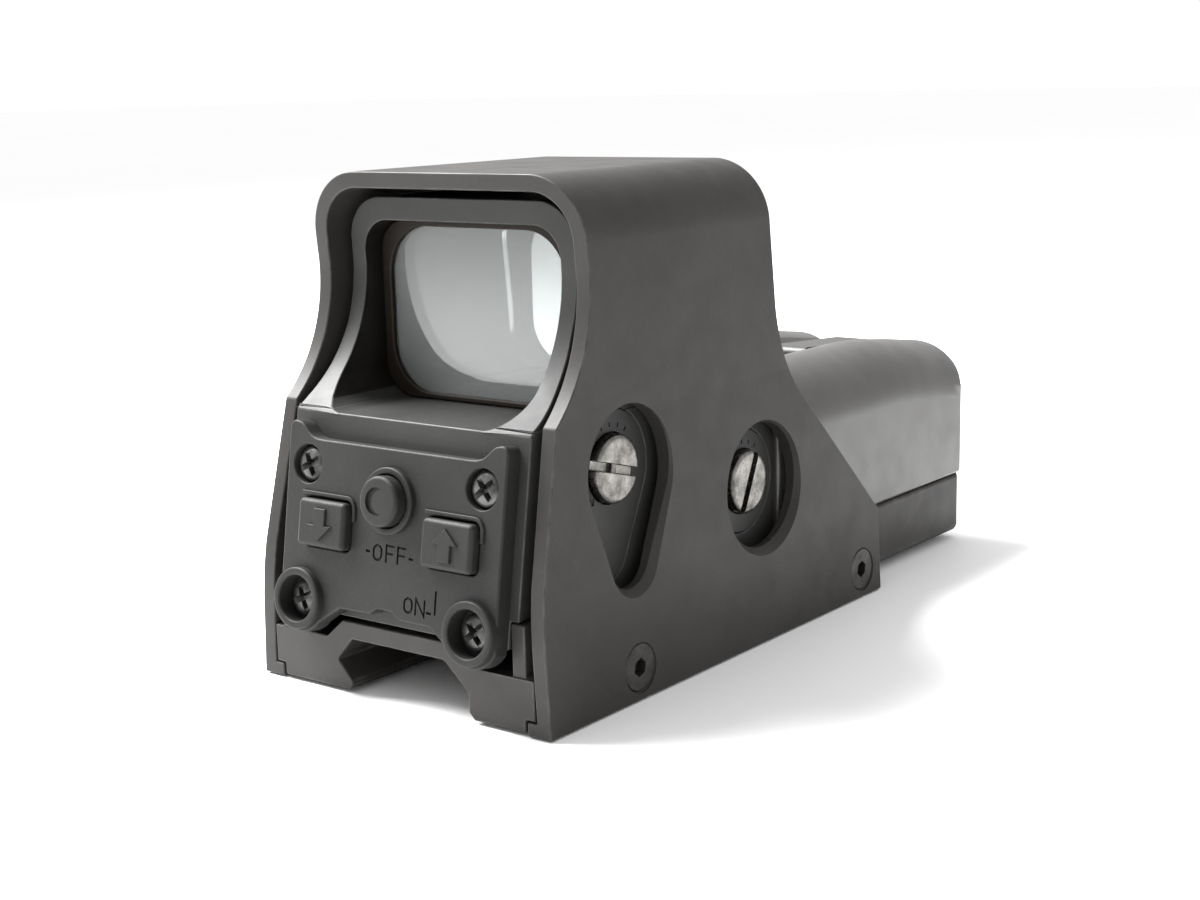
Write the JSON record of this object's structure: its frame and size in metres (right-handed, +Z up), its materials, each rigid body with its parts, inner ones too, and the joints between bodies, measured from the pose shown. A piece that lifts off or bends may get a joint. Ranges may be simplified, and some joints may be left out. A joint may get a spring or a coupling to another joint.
{
  "type": "red dot finder",
  "caption": "Hooded red dot sight with a coated window, rear keypad, slotted side adjusters, a sliding battery cap and a dovetail rail clamp underneath.",
  "frame": {"origin": "centre of the rail channel's roof, level with the clamp screw", "axes": "+Y forward along the rail, away from the eye; +Z up; +X to the right seen from the eye side, where the adjusters are"},
  "size_m": [0.0535, 0.1167, 0.0643],
  "materials": {
    "anodised_shell": "bead-blasted, dark grey anodised",
    "housing_metal": "satin dark grey coating",
    "window_glass": "coated, faint grey-green reflection",
    "bezel_plastic": "matte black",
    "keypad_rubber": "matte moulded rubber",
    "screw_steel": "black oxide",
    "bright_steel": "turned and lightly worn",
    "circuit_board": "solder mask",
    "clear_resin": "clear resin",
    "black_plastic": "moulded",
    "contact_brass": "plated",
    "cell_wrap": "shrink wrap"
  },
  "bodies": {
    "body": {"hood": "anodised_shell", "optical_housing": "housing_metal", "rear_window": "window_glass", "rear_window_seal": "bezel_plastic", "front_lens": "window_glass", "front_lens_seal": "bezel_plastic", "keypad_pad": "keypad_rubber", "keypad_screw_1": "screw_steel", "keypad_screw_2": "screw_steel", "keypad_screw_3": "screw_steel", "keypad_screw_4": "screw_steel", "switch_board": "circuit_board", "dome_switch_1": "bright_steel", "dome_switch_2": "bright_steel", "dome_switch_3": "bright_steel", "elevation_dial": "housing_metal", "windage_dial": "housing_metal", "control_board": "circuit_board", "rail_base": "anodised_shell", "clamp_washer": "bright_steel", "hood_screw_1": "screw_steel", "hood_screw_2": "screw_steel", "hood_screw_3": "screw_steel", "hood_screw_4": "screw_steel", "base_screw_1": "screw_steel", "base_screw_2": "screw_steel", "front_tray": "anodised_shell", "battery_tube": "black_plastic", "cell_spring_1": "contact_brass", "cell_spring_2": "contact_brass", "battery_cell_1": "cell_wrap", "battery_cell_2": "cell_wrap"},
    "down_key": {"down_button": "keypad_rubber"},
    "up_key": {"up_button": "keypad_rubber"},
    "moon_key": {"moon_button": "keypad_rubber"},
    "elevation_adjuster": {"elevation_screw": "bright_steel"},
    "windage_adjuster": {"windage_screw": "bright_steel"},
    "carriage": {"elevation_carriage": "black_plastic"},
    "emitter": {"emitter_block": "black_plastic", "emitter_led": "clear_resin", "reticle_mask": "screw_steel"},
    "clamp_knob": {"clamp_screw": "screw_steel"},
    "moving_jaw": {"clamp_jaw": "anodised_shell"},
    "cap": {"battery_cap": "anodised_shell", "cap_contact": "contact_brass", "latch_pin": "bright_steel"},
    "latch": {"latch_lever": "black_plastic"}
  },
  "joints": [
    {"name": "down_press", "type": "slide", "parent": "body", "child": "down_key", "axis": [0, 0.9876, -0.1569], "range_m": [0, 0.0008], "stiffness_N_per_m": 300, "springref_m": -0.0008},
    {"name": "up_press", "type": "slide", "parent": "body", "child": "up_key", "axis": [0, 0.9876, -0.1569], "range_m": [0, 0.0008], "stiffness_N_per_m": 300, "springref_m": -0.0008},
    {"name": "moon_press", "type": "slide", "parent": "body", "child": "moon_key", "axis": [0, 0.9876, -0.1569], "range_m": [0, 0.0008], "stiffness_N_per_m": 300, "springref_m": -0.0008},
    {"name": "elevation_turn", "type": "hinge", "parent": "body", "child": "elevation_adjuster", "pos_m": [0.0198, -0.0205, 0.0215], "axis": [1, 0, 0], "range_deg": [-360, 360]},
    {"name": "elevation_slide", "type": "slide", "parent": "body", "child": "carriage", "axis": [0, 0, 1], "range_m": [-0.0005, 0.0005]},
    {"name": "windage_turn", "type": "hinge", "parent": "body", "child": "windage_adjuster", "pos_m": [0.0198, 0.0087, 0.0144], "axis": [1, 0, 0], "range_deg": [-360, 360]},
    {"name": "windage_slide", "type": "slide", "parent": "carriage", "child": "emitter", "axis": [1, 0, 0], "range_m": [-0.0005, 0.0005]},
    {"name": "clamp_turn", "type": "hinge", "parent": "body", "child": "clamp_knob", "pos_m": [-0.0248, 0, -0.00355], "axis": [-1, 0, 0], "range_deg": [0, 720]},
    {"name": "jaw_slide", "type": "slide", "parent": "body", "child": "moving_jaw", "axis": [1, 0, 0], "range_m": [0, 0.002]},
    {"name": "cap_slide", "type": "slide", "parent": "body", "child": "cap", "axis": [0, 1, 0], "range_m": [0, 0.052]},
    {"name": "latch_lift", "type": "hinge", "parent": "cap", "child": "latch", "pos_m": [0, 0.0525, 0.02475], "axis": [1, 0, 0], "range_deg": [0, 75]}
  ],
  "couplings": [
    {"joint": "elevation_turn", "follows": "elevation_slide", "rad_per_m": 12566},
    {"joint": "windage_turn", "follows": "windage_slide", "rad_per_m": 12566},
    {"joint": "clamp_turn", "follows": "jaw_slide", "rad_per_m": 6283.1}
  ]
}
